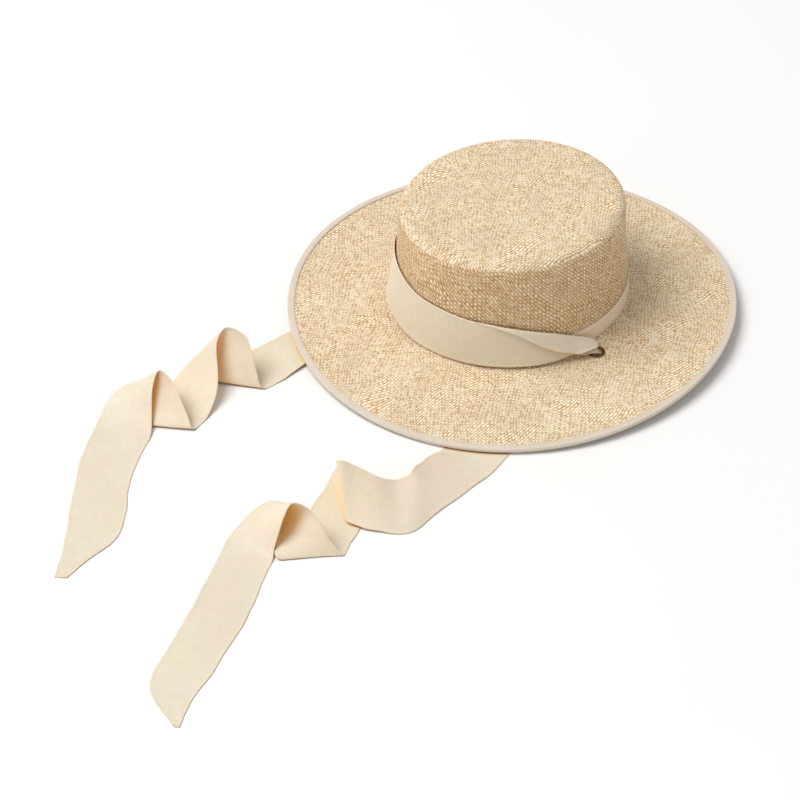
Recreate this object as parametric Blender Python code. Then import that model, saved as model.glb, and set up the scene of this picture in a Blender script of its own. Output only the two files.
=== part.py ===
"""Flat top straw hat with a long satin ribbon, lying on a flat surface.

The hat's crown axis stands upright, the front of the hat looks along -Y, and the ribbon's two
tails lie in front of it. Lengths are in metres and angles in degrees unless a name says otherwise.
"""
import math

import bmesh
import bpy
import numpy as np
from mathutils import Matrix, Vector

MM = 0.001

# Woven straw of crown and brim
STRAW_WALL = 1.5 * MM
CROWN_LENGTH = 196.0 * MM
CROWN_WIDTH = 174.6 * MM
TOP_LENGTH = 184.0 * MM
TOP_WIDTH = 172.6 * MM
CROWN_HEIGHT = 94.0 * MM
TOP_ROUNDING = 9.0 * MM
CROWN_FILLET = 1.6 * MM

# Brim, measured over its binding; its edge waves up at two places and down between them
BRIM_LENGTH = 363.4 * MM
BRIM_WIDTH = 360.8 * MM
CROWN_FOOT_RISE = 13.2 * MM
EDGE_WAVE = 4.56 * MM
EDGE_TILT = 1.35 * MM
HIGH_EDGE_ANGLE = 37.2
LOW_EDGE_ANGLE = -53.0

# Grosgrain tape
TAPE_THICKNESS = 0.6 * MM
BINDING_WIDTH = 5.8 * MM
BAND_HEIGHT = 15.0 * MM
BAND_LIFT = 2.0 * MM
SEAT_GAP = 0.3 * MM

# Eyelets, in the brim beside the crown
EYELET_HOLE = 8.0 * MM
EYELET_BARREL = 9.0 * MM
EYELET_FLANGE = 14.0 * MM
EYELET_FLANGE_THICKNESS = 0.9 * MM
EYELET_BACK_THICKNESS = 0.5 * MM
EYELET_OFFSET = 12.0 * MM
EYELET_BEHIND_MIDDLE = 4.1 * MM

# Ribbon
RIBBON_WIDTH = 44.0 * MM
RIBBON_THICKNESS = 1.0 * MM
RIBBON_BUNDLE = 6.0 * MM
LEFT_EXIT_ANGLE = -111.5
RIGHT_EXIT_ANGLE = -47.5

# Facets
SEGMENTS = 72
EYELET_SEGMENTS = 24
RIBBON_STEPS = 3
RIBBON_COLUMNS = 3

# Ribbon round the crown: angle, then height above the brim and distance from the crown's wall
# for the lower and for the upper edge, all four as shares of the ribbon's width
WRAP_ROWS = (
    # angle, lower_height, lower_off, upper_height, upper_off
    (-174.0, 0.07, 0.16, 0.42, 0.02),
    (-168.0, 0.07, 0.11, 0.62, 0.01),
    (-160.0, 0.10, 0.05, 0.88, 0.00),
    (-148.0, 0.18, 0.07, 1.11, 0.00),
    (-135.0, 0.25, 0.12, 1.22, 0.01),
    (-121.0, 0.25, 0.13, 1.23, 0.01),
    (-107.0, 0.15, 0.07, 1.16, 0.00),
    (-90.0, 0.07, 0.02, 1.08, 0.00),
    (-72.0, 0.06, 0.00, 1.04, 0.00),
    (-57.0, 0.05, 0.02, 0.97, 0.00),
    (-45.0, 0.05, 0.05, 0.92, 0.00),
    (-34.0, 0.05, 0.08, 0.83, 0.00),
    (-24.0, 0.05, 0.13, 0.70, 0.00),
    (-15.0, 0.06, 0.18, 0.56, 0.00),
    (-8.0, 0.07, 0.20, 0.41, 0.01),
)

# Ribbon from the crown's side down through an eyelet, measured from the eyelet's middle and
# written for the right eyelet: outer edge, then inner edge, as shares of the ribbon's width
EYELET_ROWS = (
    # outer_x, outer_y, outer_z, inner_x, inner_y, inner_z
    (0.05, -0.31, 0.10, -0.18, -0.13, 0.29),
    (0.06, -0.12, 0.10, -0.10, -0.02, 0.17),
    (0.06, -0.03, 0.04, -0.06, 0.01, 0.05),
    (0.06, 0.00, -0.09, -0.06, 0.00, -0.09),
)

# Ribbon under the brim: share of the way from the eyelet to the tail, how far it has spread
# from its bundled width, and its height as a share of the ribbon's width
UNDER_ROWS = (
    # way, spread, height
    (0.12, 0.08, 0.10),
    (0.35, 0.45, 0.02),
    (0.68, 0.86, 0.00),
)

# Tails from the brim's edge to the tip, near edge and far edge, as shares of the ribbon's width.
# Height is that of the underside, and zero lies on the surface.
LEFT_TAIL_ROWS = (
    # near_x, near_y, near_z, far_x, far_y, far_z
    (0.43, 0.43, 0.02, -0.50, 0.66, 0.01),
    (0.52, -0.12, 0.05, -0.44, 0.21, 0.01),
    (0.60, -0.72, 0.01, -0.44, -0.59, 0.00),
    (0.61, -1.00, 0.00, -0.29, -1.61, 0.00),
    (0.55, -1.11, 0.06, -0.29, -1.82, 0.06),
    (0.32, -1.06, 0.34, -0.50, -1.81, 0.14),
    (-0.05, -0.96, 0.74, -0.70, -1.75, 0.15),
    (-0.37, -1.16, 0.85, -0.75, -1.72, 0.14),
    (-0.28, -1.42, 0.72, -0.60, -2.05, 0.11),
    (0.20, -1.75, 0.35, -0.40, -2.46, 0.08),
    (0.59, -2.24, 0.03, -0.18, -3.04, 0.03),
    (0.69, -2.49, 0.00, -0.03, -3.27, 0.01),
    (0.73, -2.65, 0.05, -0.04, -3.39, 0.03),
    (0.48, -2.62, 0.25, -0.34, -3.28, 0.09),
    (0.04, -2.57, 0.59, -0.70, -3.08, 0.13),
    (-0.23, -2.67, 0.74, -0.89, -2.95, 0.14),
    (-0.15, -2.87, 0.53, -0.87, -3.27, 0.09),
    (0.21, -3.15, 0.12, -0.61, -3.73, 0.01),
    (0.42, -3.35, 0.01, -0.40, -3.96, 0.00),
    (1.00, -4.07, 0.00, 0.15, -4.58, 0.00),
    (1.78, -4.70, 0.00, 1.16, -5.41, 0.00),
    (2.12, -5.03, 0.00, 1.74, -5.87, 0.00),
    (2.24, -5.28, 0.00, 1.98, -6.08, 0.00),
    (2.33, -5.76, 0.00, 2.19, -6.27, 0.00),
    (2.46, -6.26, 0.00, 2.33, -6.39, 0.00),
)
RIGHT_TAIL_ROWS = (
    # near_x, near_y, near_z, far_x, far_y, far_z
    (0.14, 0.95, 0.00, -0.68, 0.32, 0.00),
    (0.34, 0.53, 0.00, -0.48, -0.28, 0.00),
    (0.45, 0.22, 0.00, -0.42, -0.45, 0.00),
    (0.58, -0.16, 0.00, -0.34, -0.65, 0.11),
    (0.69, -0.89, 0.00, -0.20, -1.01, 0.25),
    (0.79, -1.56, 0.00, -0.09, -1.26, 0.34),
    (0.87, -2.01, 0.00, -0.01, -1.44, 0.30),
    (0.76, -2.25, 0.00, -0.06, -1.67, 0.30),
    (0.53, -2.48, 0.02, -0.21, -1.96, 0.45),
    (0.26, -2.66, 0.05, -0.51, -2.19, 0.61),
    (0.00, -2.77, 0.07, -0.66, -2.35, 0.73),
    (-0.09, -2.64, 0.11, -0.71, -2.40, 0.70),
    (-0.01, -2.50, 0.10, -0.88, -2.22, 0.43),
    (0.09, -2.38, 0.06, -1.18, -2.07, 0.07),
    (0.13, -2.40, 0.00, -1.19, -2.10, 0.00),
    (0.26, -2.64, 0.00, -0.91, -2.56, 0.00),
    (0.42, -2.96, 0.00, -0.67, -2.99, 0.00),
    (0.61, -3.24, 0.00, 0.06, -4.06, 0.00),
    (0.56, -3.27, 0.06, -0.01, -4.15, 0.05),
    (0.33, -3.37, 0.34, -0.35, -3.92, 0.12),
    (-0.04, -3.41, 0.64, -0.84, -3.68, 0.16),
    (-0.25, -3.62, 0.77, -1.07, -3.52, 0.16),
    (-0.21, -3.83, 0.61, -1.12, -3.83, 0.11),
    (-0.15, -4.06, 0.18, -0.96, -4.38, 0.03),
    (-0.05, -4.21, 0.02, -0.80, -4.67, 0.00),
    (0.79, -5.30, 0.00, 0.16, -6.02, 0.00),
    (1.46, -6.44, 0.00, 0.82, -7.06, 0.00),
    (1.72, -6.96, 0.00, 1.05, -7.29, 0.00),
    (1.88, -7.18, 0.00, 1.33, -7.39, 0.00),
    (2.06, -7.39, 0.00, 2.00, -7.45, 0.00),
)

# Colour, roughness and metallic value of each material
MATERIALS = {
    "straw": ((0.73, 0.55, 0.34), 0.75, 0.0),
    "grosgrain": ((0.66, 0.53, 0.44), 0.80, 0.0),
    "satin": ((0.82, 0.70, 0.53), 0.45, 0.0),
    "brass": ((0.22, 0.16, 0.10), 0.40, 1.0),
}


def clear_scene():
    for old in list(bpy.data.objects):
        bpy.data.objects.remove(old, do_unlink=True)


def material(name):
    colour, roughness, metallic = MATERIALS[name]
    made = bpy.data.materials.get(name) or bpy.data.materials.new(name)
    made.use_nodes = True
    shader = made.node_tree.nodes["Principled BSDF"]
    shader.inputs["Base Color"].default_value = (*colour, 1.0)
    shader.inputs["Roughness"].default_value = roughness
    shader.inputs["Metallic"].default_value = metallic
    return made


def mix(start, end, share):
    return start + (end - start) * share


# Hat surfaces

def half_thickness_of_bound_edge():
    return STRAW_WALL / 2 + SEAT_GAP + TAPE_THICKNESS


def edge_height(angle):
    """Height of the middle of the brim's wall at its edge."""
    wave = EDGE_WAVE * (1 + math.cos(2 * math.radians(angle - HIGH_EDGE_ANGLE)))
    tilt = EDGE_TILT * (1 + math.cos(math.radians(angle - LOW_EDGE_ANGLE))) / 2
    return half_thickness_of_bound_edge() + wave + tilt


def brim_point(angle, inset, lift):
    """A point inset from the brim's outer edge, lifted from the middle of its wall."""
    turn = math.radians(angle)
    edge = Vector((BRIM_WIDTH / 2 * math.cos(turn), BRIM_LENGTH / 2 * math.sin(turn), 0))
    foot = Vector((CROWN_WIDTH / 2 * math.cos(turn), CROWN_LENGTH / 2 * math.sin(turn), 0))
    share = inset / (edge - foot).length
    place = mix(edge, foot, share)
    foot_height = CROWN_FOOT_RISE - STRAW_WALL / 2
    place.z = mix(edge_height(angle), foot_height, share) + lift
    return place


def brim_reach(angle):
    """Width of the brim from its outer edge to the crown."""
    turn = math.radians(angle)
    across = (BRIM_WIDTH - CROWN_WIDTH) / 2 * math.cos(turn)
    along = (BRIM_LENGTH - CROWN_LENGTH) / 2 * math.sin(turn)
    return math.hypot(across, along)


def wall_straight_height():
    return CROWN_HEIGHT - TOP_ROUNDING


def crown_point(angle, height, outward):
    """A point near the crown's wall, at a height above the brim and a distance outward."""
    turn = math.radians(angle)
    share = height / wall_straight_height()
    half_x = mix(CROWN_WIDTH, TOP_WIDTH, share) / 2 + outward
    half_y = mix(CROWN_LENGTH, TOP_LENGTH, share) / 2 + outward
    return Vector((half_x * math.cos(turn), half_y * math.sin(turn), CROWN_FOOT_RISE + height))


def top_point(angle, inset, drop):
    """A point on the flat top, inset from the crown's widest outline there."""
    turn = math.radians(angle)
    half_x = TOP_WIDTH / 2 - inset
    half_y = TOP_LENGTH / 2 - inset
    height = CROWN_FOOT_RISE + CROWN_HEIGHT - drop
    return Vector((half_x * math.cos(turn), half_y * math.sin(turn), height))


# Mesh building

def ring_angles(count=SEGMENTS):
    return [360.0 * step / count for step in range(count)]


def new_object(name, mesh, material_name, frame):
    mesh.materials.append(material(material_name))
    made = bpy.data.objects.new(name, mesh)
    bpy.context.scene.collection.objects.link(made)
    made.parent = frame
    return made


def finish_mesh(work, name, smooth_angle=35.0):
    bmesh.ops.recalc_face_normals(work, faces=work.faces[:])
    mesh = bpy.data.meshes.new(name)
    work.to_mesh(mesh)
    work.free()
    mesh.shade_smooth()
    mesh.set_sharp_from_angle(angle=math.radians(smooth_angle))
    return mesh


def bridge(work, first, second):
    """Faces between two closed rings of as many points."""
    count = len(first)
    for step in range(count):
        following = (step + 1) % count
        work.faces.new((first[step], first[following], second[following], second[step]))


def fan(work, centre, ring):
    count = len(ring)
    for step in range(count):
        work.faces.new((centre, ring[step], ring[(step + 1) % count]))


def capped_rings(name, rings, start, end):
    """A closed skin through rings in order, with a middle point at either end."""
    work = bmesh.new()
    loops = [[work.verts.new(point) for point in ring] for ring in rings]
    for first, second in zip(loops, loops[1:]):
        bridge(work, first, second)
    fan(work, work.verts.new(start), loops[0])
    fan(work, work.verts.new(end), loops[-1])
    return finish_mesh(work, name)


def looped_rings(name, rings):
    """A closed skin through rings in order, where the last one meets the first again."""
    work = bmesh.new()
    loops = [[work.verts.new(point) for point in ring] for ring in rings]
    for first, second in zip(loops, loops[1:] + loops[:1]):
        bridge(work, first, second)
    return finish_mesh(work, name)


# Straw crown and brim

def arc_rings(angles, rounding, turns, wall):
    """Rings round the crown's top edge, with the wall's thickness taken off on the inside."""
    rings = []
    for turn in map(math.radians, turns):
        inset = wall + rounding * (1 - math.sin(turn))
        drop = wall + rounding * (1 - math.cos(turn))
        rings.append([top_point(a, inset, drop) for a in angles])
    return rings


def crown_rings():
    """Rings down the outside from the flat top to the foot, then back up inside."""
    angles = ring_angles()
    flat_shares = (0.72, 0.38)
    wall_shares = (0.66, 0.33)
    rings = []
    for share in reversed(flat_shares):
        inset = mix(TOP_WIDTH / 2, TOP_ROUNDING, share)
        rings.append([top_point(a, inset, 0.0) for a in angles])
    rings += arc_rings(angles, TOP_ROUNDING, (0.0, 30.0, 60.0, 90.0), 0.0)
    for share in wall_shares:
        rings.append([crown_point(a, share * wall_straight_height(), 0.0) for a in angles])
    for off in (0.0, -STRAW_WALL):
        rings.append([crown_point(a, -STRAW_WALL, off) for a in angles])
    for share in reversed(wall_shares):
        rings.append([crown_point(a, share * wall_straight_height(), -STRAW_WALL) for a in angles])
    rings += arc_rings(angles, TOP_ROUNDING - STRAW_WALL, (90.0, 45.0, 0.0), STRAW_WALL)
    for share in flat_shares[1:]:
        inset = mix(TOP_WIDTH / 2, TOP_ROUNDING, share)
        rings.append([top_point(a, inset, STRAW_WALL) for a in angles])
    return rings


def make_crown(frame):
    top = Vector((0, 0, CROWN_FOOT_RISE + CROWN_HEIGHT))
    under_top = top - Vector((0, 0, STRAW_WALL))
    mesh = capped_rings("crown", crown_rings(), top, under_top)
    return new_object("crown", mesh, "straw", frame)


def brim_rings():
    """Rings from a small lip at the crown over the top to the edge, then back underneath."""
    angles = ring_angles()
    edge_inset = SEAT_GAP + TAPE_THICKNESS
    shares = (0.25, 0.5, 0.75)
    half = STRAW_WALL / 2
    rings = [[crown_point(a, CROWN_FILLET, SEAT_GAP) for a in angles]]
    for share in (0.0, *shares, 1.0):
        rings.append([
            brim_point(a, mix(brim_reach(a) - SEAT_GAP - CROWN_FILLET, edge_inset, share), half)
            for a in angles
        ])
    for share in (1.0, *reversed(shares), 0.0):
        rings.append([
            brim_point(a, mix(brim_reach(a) - SEAT_GAP, edge_inset, share), -half)
            for a in angles
        ])
    return rings


def make_brim(frame):
    brim = new_object("brim", looped_rings("brim", brim_rings()), "straw", frame)
    for side, placing in eyelet_placings().items():
        cutter = eyelet_cutter("cut_" + side, placing, frame)
        cut = brim.modifiers.new("hole_" + side, "BOOLEAN")
        cut.operation = "DIFFERENCE"
        cut.solver = "EXACT"
        cut.object = cutter
    return brim


# Grosgrain binding and band

def make_binding(frame):
    """Tape folded over the brim's edge, with a round turn at its outside."""
    inner = STRAW_WALL / 2 + SEAT_GAP
    outer = inner + TAPE_THICKNESS
    bend = TAPE_THICKNESS + SEAT_GAP
    section = [
        (BINDING_WIDTH, outer),
        (BINDING_WIDTH / 2, outer),
        (bend, outer),
        (0.25 * bend, 0.6 * outer),
        (0.0, 0.0),
        (0.25 * bend, -0.6 * outer),
        (bend, -outer),
        (BINDING_WIDTH, -outer),
        (BINDING_WIDTH, -inner),
        (TAPE_THICKNESS, -inner),
        (TAPE_THICKNESS, inner),
        (BINDING_WIDTH / 2, inner),
        (BINDING_WIDTH, inner),
    ]
    rings = [[brim_point(a, inset, lift) for a in ring_angles()] for inset, lift in section]
    return new_object("brim_binding", looped_rings("brim_binding", rings), "grosgrain", frame)


def make_band(frame):
    """Flat tape round the foot of the crown."""
    foot = BAND_LIFT
    head = BAND_LIFT + BAND_HEIGHT
    outside = SEAT_GAP + TAPE_THICKNESS
    section = [
        (foot, SEAT_GAP),
        (foot, outside),
        (mix(foot, head, 0.5), outside),
        (head, outside),
        (head, SEAT_GAP),
    ]
    rings = [[crown_point(a, height, off) for a in ring_angles()] for height, off in section]
    return new_object("hat_band", looped_rings("hat_band", rings), "grosgrain", frame)


# Eyelets

def eyelet_angle():
    return math.degrees(math.asin(EYELET_BEHIND_MIDDLE / (CROWN_LENGTH / 2)))


def eyelet_placings():
    """Middle of each eyelet's hole on the brim's wall, turned to the brim's own slope."""
    placings = {}
    for side, angle in (("right", eyelet_angle()), ("left", 180.0 - eyelet_angle())):
        inset = brim_reach(angle) - EYELET_OFFSET
        middle = brim_point(angle, inset, 0.0)
        outward = brim_point(angle, inset - EYELET_HOLE, 0.0) - middle
        along = brim_point(angle + 2.0, inset, 0.0) - brim_point(angle - 2.0, inset, 0.0)
        normal = outward.cross(along).normalized()
        if normal.z < 0:
            normal.negate()
        rotation = Vector((0, 0, 1)).rotation_difference(normal).to_matrix().to_4x4()
        placings[side] = Matrix.Translation(middle) @ rotation
    return placings


def turned_ring(name, section, count):
    """A closed section of radius and height turned about Z."""
    rings = []
    for radius, height in section:
        turns = [math.radians(a) for a in ring_angles(count)]
        rings.append([(radius * math.cos(t), radius * math.sin(t), height) for t in turns])
    return looped_rings(name, rings)


def make_eyelet(side, placing, frame):
    hole = EYELET_HOLE / 2
    barrel = EYELET_BARREL / 2
    flange = EYELET_FLANGE / 2
    seat = STRAW_WALL / 2 + SEAT_GAP
    crest = seat + EYELET_FLANGE_THICKNESS
    back = -seat - EYELET_BACK_THICKNESS
    section = [
        (hole, back),
        (hole, mix(seat, crest, 0.2)),
        (mix(hole, flange, 0.15), mix(seat, crest, 0.8)),
        (mix(hole, flange, 0.40), crest),
        (mix(hole, flange, 0.75), mix(seat, crest, 0.8)),
        (flange, mix(seat, crest, 0.2)),
        (flange, seat),
        (barrel, seat),
        (barrel, -seat),
        (0.92 * flange, -seat),
        (0.92 * flange, back),
    ]
    name = "eyelet_" + side
    ring = new_object(name, turned_ring(name, section, EYELET_SEGMENTS), "brass", frame)
    ring.matrix_local = placing
    return ring


def eyelet_cutter(name, placing, frame):
    """A plain drum for the hole in the straw that an eyelet's barrel passes through."""
    work = bmesh.new()
    radius = EYELET_BARREL / 2 + SEAT_GAP
    bmesh.ops.create_cone(
        work, cap_ends=True, segments=EYELET_SEGMENTS, radius1=radius, radius2=radius,
        depth=6 * STRAW_WALL)
    cutter = new_object(name, finish_mesh(work, name), "brass", frame)
    cutter.matrix_local = placing
    cutter.hide_render = True
    cutter.display_type = "WIRE"
    return cutter


# Ribbon

def tail_rows(rows, exit_angle):
    """Near and far edge of a tail, from the brim's edge outward."""
    turn = math.radians(exit_angle)
    start = Vector((BRIM_WIDTH / 2 * math.cos(turn), BRIM_LENGTH / 2 * math.sin(turn), 0))
    rest = Vector((0, 0, RIBBON_THICKNESS / 2))
    made = []
    for near_x, near_y, near_z, far_x, far_y, far_z in rows:
        near = start + rest + Vector((near_x, near_y, near_z)) * RIBBON_WIDTH
        far = start + rest + Vector((far_x, far_y, far_z)) * RIBBON_WIDTH
        made.append((near, far))
    return made


def wrap_rows():
    """Lower and upper edge of the ribbon round the front of the crown, from left to right."""
    clear = 2 * SEAT_GAP + TAPE_THICKNESS + RIBBON_THICKNESS / 2
    made = []
    for angle, lower_height, lower_off, upper_height, upper_off in WRAP_ROWS:
        lower = crown_point(angle, lower_height * RIBBON_WIDTH, clear + lower_off * RIBBON_WIDTH)
        upper = crown_point(angle, upper_height * RIBBON_WIDTH, clear + upper_off * RIBBON_WIDTH)
        made.append((lower, upper))
    return made


def eyelet_rows(placing, side):
    """Outer and inner edge of the bundled ribbon on its way down through an eyelet."""
    middle = placing.translation
    mirror = 1 if side == "right" else -1
    fit = RIBBON_BUNDLE / 2 / (0.06 * RIBBON_WIDTH)
    made = []
    for outer_x, outer_y, outer_z, inner_x, inner_y, inner_z in EYELET_ROWS:
        narrow = fit if abs(outer_x - inner_x) < 0.13 else 1.0
        outer = Vector((mirror * outer_x * narrow, outer_y, outer_z)) * RIBBON_WIDTH
        inner = Vector((mirror * inner_x * narrow, inner_y, inner_z)) * RIBBON_WIDTH
        made.append((middle + outer, middle + inner))
    return made


def under_rows(bundle, tail):
    """Ribbon under the brim, spreading from its bundled width to the tail's first row."""
    bundle_middle = (bundle[0] + bundle[1]) / 2
    bundle_half = (bundle[0] - bundle[1]) / 2
    tail_middle = (tail[0] + tail[1]) / 2
    tail_half = (tail[0] - tail[1]) / 2
    made = []
    for way, spread, height in UNDER_ROWS:
        middle = mix(bundle_middle, tail_middle, way)
        middle.z = RIBBON_THICKNESS / 2 + height * RIBBON_WIDTH
        half = mix(bundle_half, tail_half, spread)
        made.append((middle + half, middle - half))
    return made


def ribbon_rows():
    """Outer and inner edge of the whole ribbon, from the left tip to the right tip."""
    placings = eyelet_placings()
    left_tail = [(far, near) for near, far in tail_rows(LEFT_TAIL_ROWS, LEFT_EXIT_ANGLE)]
    right_tail = tail_rows(RIGHT_TAIL_ROWS, RIGHT_EXIT_ANGLE)
    left_eyelet = eyelet_rows(placings["left"], "left")
    right_eyelet = eyelet_rows(placings["right"], "right")
    left_under = under_rows(left_eyelet[-1], left_tail[0])
    right_under = under_rows(right_eyelet[-1], right_tail[0])
    return (
        left_tail[::-1] + left_under[::-1] + left_eyelet[::-1] + wrap_rows()
        + right_eyelet + right_under + right_tail
    )


def smooth_path(points, steps):
    """Points along one smooth curve through the given points, tighter where they lie close."""
    spots = np.array([tuple(p) for p in points])
    last = len(spots) - 1
    path = []
    for i in range(last):
        before, start = spots[max(i - 1, 0)], spots[i]
        end, after = spots[i + 1], spots[min(i + 2, last)]
        gap_before = max(np.linalg.norm(start - before), MM * MM) ** 0.5
        gap = max(np.linalg.norm(end - start), MM * MM) ** 0.5
        gap_after = max(np.linalg.norm(after - end), MM * MM) ** 0.5
        leave = end - start
        arrive = end - start
        if i > 0:
            leave = gap * (
                (start - before) / gap_before - (end - before) / (gap_before + gap)
                + (end - start) / gap)
        if i < last - 1:
            arrive = gap * (
                (end - start) / gap - (after - start) / (gap + gap_after)
                + (after - end) / gap_after)
        for step in range(steps):
            t = step / steps
            path.append(
                (2 * t**3 - 3 * t**2 + 1) * start + (t**3 - 2 * t**2 + t) * leave
                + (3 * t**2 - 2 * t**3) * end + (t**3 - t**2) * arrive)
    path.append(spots[-1])
    return np.array(path)


def ribbon_grid():
    rows = ribbon_rows()
    outer = smooth_path([row[0] for row in rows], RIBBON_STEPS)
    inner = smooth_path([row[1] for row in rows], RIBBON_STEPS)
    across = np.linspace(0.0, 1.0, RIBBON_COLUMNS + 1)[None, :, None]
    grid = outer[:, None, :] * (1 - across) + inner[:, None, :] * across
    grid[:, :, 2] = np.maximum(grid[:, :, 2], RIBBON_THICKNESS / 2)
    return grid


def grid_normals(grid):
    along = np.gradient(grid, axis=0)
    across = np.gradient(grid, axis=1)
    normals = np.cross(along, across)
    return normals / np.linalg.norm(normals, axis=2, keepdims=True)


def make_ribbon(frame):
    """A thin solid strip round the ribbon's middle surface."""
    grid = ribbon_grid()
    offset = grid_normals(grid) * RIBBON_THICKNESS / 2
    rings = []
    for face, back in zip(grid + offset, grid - offset):
        rings.append([*face, *back[::-1]])
    work = bmesh.new()
    loops = [[work.verts.new(point) for point in ring] for ring in rings]
    for first, second in zip(loops, loops[1:]):
        bridge(work, first, second)
    columns = RIBBON_COLUMNS + 1
    for loop in (loops[0], loops[-1]):
        for step in range(RIBBON_COLUMNS):
            work.faces.new((
                loop[step], loop[step + 1],
                loop[2 * columns - 2 - step], loop[2 * columns - 1 - step]))
    mesh = finish_mesh(work, "ribbon", smooth_angle=60.0)
    return new_object("ribbon", mesh, "satin", frame)


def centre_on_floor(frame, pieces):
    """Place the hat's frame so that the middle of all pieces' outline is the origin."""
    bpy.context.view_layer.update()
    corners = [p.matrix_world @ v.co for p in pieces for v in p.data.vertices]
    middle = [
        (min(c[axis] for c in corners) + max(c[axis] for c in corners)) / 2 for axis in (0, 1)
    ]
    frame.location = (-middle[0], -middle[1], -min(c.z for c in corners))


def main():
    clear_scene()
    frame = bpy.data.objects.new("hat_frame", None)
    bpy.context.scene.collection.objects.link(frame)
    pieces = [make_crown(frame), make_brim(frame), make_binding(frame), make_band(frame)]
    for side, placing in eyelet_placings().items():
        pieces.append(make_eyelet(side, placing, frame))
    pieces.append(make_ribbon(frame))
    centre_on_floor(frame, pieces)


main()
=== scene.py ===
"""Looks of a flat top straw hat with a long satin ribbon, built round its fixed solids."""
import math

import bpy
import numpy as np
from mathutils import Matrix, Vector


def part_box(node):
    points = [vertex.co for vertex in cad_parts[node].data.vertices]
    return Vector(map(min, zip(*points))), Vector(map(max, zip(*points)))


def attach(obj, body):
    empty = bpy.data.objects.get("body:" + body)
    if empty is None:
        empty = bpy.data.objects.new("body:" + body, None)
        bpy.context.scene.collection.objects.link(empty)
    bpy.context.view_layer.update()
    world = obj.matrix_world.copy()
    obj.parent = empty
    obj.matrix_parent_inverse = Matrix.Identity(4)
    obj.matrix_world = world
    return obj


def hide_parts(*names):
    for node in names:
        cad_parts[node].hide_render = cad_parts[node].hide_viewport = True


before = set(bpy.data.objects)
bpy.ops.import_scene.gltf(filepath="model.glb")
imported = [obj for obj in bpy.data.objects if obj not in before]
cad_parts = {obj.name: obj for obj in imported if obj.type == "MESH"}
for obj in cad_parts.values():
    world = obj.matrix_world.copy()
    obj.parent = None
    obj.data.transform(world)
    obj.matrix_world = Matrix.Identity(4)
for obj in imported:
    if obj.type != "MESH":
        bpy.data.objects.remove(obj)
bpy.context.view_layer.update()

MM = 0.001

# Hat sizes, as in the solids
STRAW_WALL = 1.5 * MM
CROWN_LENGTH = 196.0 * MM
CROWN_WIDTH = 174.6 * MM
TOP_LENGTH = 184.0 * MM
TOP_WIDTH = 172.6 * MM
CROWN_HEIGHT = 94.0 * MM
TOP_ROUNDING = 9.0 * MM
CROWN_FILLET = 2.0 * MM
BRIM_LENGTH = 363.4 * MM
BRIM_WIDTH = 360.8 * MM
CROWN_FOOT_RISE = 13.2 * MM
EDGE_WAVE = 4.56 * MM
EDGE_TILT = 1.35 * MM
HIGH_EDGE_ANGLE = 37.2
LOW_EDGE_ANGLE = -53.0
TAPE_THICKNESS = 0.6 * MM
BINDING_WIDTH = 5.8 * MM
BAND_HEIGHT = 15.0 * MM
BAND_LIFT = 2.0 * MM
SEAT_GAP = 0.3 * MM
EYELET_HOLE = 8.0 * MM
EYELET_BARREL = 9.0 * MM
EYELET_FLANGE = 14.0 * MM
EYELET_FLANGE_THICKNESS = 0.9 * MM
EYELET_BACK_THICKNESS = 0.5 * MM
EYELET_OFFSET = 12.0 * MM
EYELET_BEHIND_MIDDLE = 4.1 * MM
RIBBON_WIDTH = 44.0 * MM
RIBBON_THICKNESS = 1.0 * MM
RIBBON_BUNDLE = 6.0 * MM
LEFT_EXIT_ANGLE = -111.5
RIGHT_EXIT_ANGLE = -47.5

WRAP_ROWS = (
    # angle, lower_height, lower_off, upper_height, upper_off, flap
    (-174.0, 0.07, 0.16, 0.42, 0.02, 0.00),
    (-168.0, 0.07, 0.11, 0.62, 0.01, 0.00),
    (-160.0, 0.10, 0.05, 0.88, 0.00, 0.00),
    (-148.0, 0.18, 0.07, 1.11, 0.00, 0.00),
    (-135.0, 0.25, 0.12, 1.22, 0.01, 0.00),
    (-121.0, 0.25, 0.13, 1.23, 0.01, 0.00),
    (-107.0, 0.15, 0.07, 1.16, 0.00, 0.00),
    (-90.0, 0.07, 0.02, 1.08, 0.00, 0.00),
    (-72.0, 0.06, 0.00, 1.04, 0.00, 0.00),
    (-57.0, 0.05, 0.02, 0.97, 0.00, 0.00),
    (-45.0, 0.05, 0.05, 0.92, 0.00, 0.05),
    (-34.0, 0.05, 0.08, 0.83, 0.00, 0.14),
    (-24.0, 0.05, 0.11, 0.70, 0.00, 0.27),
    (-15.0, 0.07, 0.13, 0.56, 0.00, 0.36),
    (-8.0, 0.09, 0.14, 0.42, 0.01, 0.36),
)
EYELET_ROWS = (
    # outer_x, outer_y, outer_z, inner_x, inner_y, inner_z, flap, gather
    (0.02, -0.30, 0.12, -0.18, -0.13, 0.30, 0.30, 0.0),
    (0.06, -0.12, 0.09, -0.13, 0.01, 0.21, 0.21, 0.0),
    (0.07, -0.03, 0.05, -0.07, 0.02, 0.09, 0.05, 0.25),
    (0.06, 0.00, -0.09, -0.06, 0.00, -0.09, 0.00, 1.0),
)
UNDER_ROWS = (
    # way, spread, height
    (0.12, 0.08, 0.10),
    (0.35, 0.45, 0.02),
    (0.68, 0.86, 0.00),
)
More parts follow.
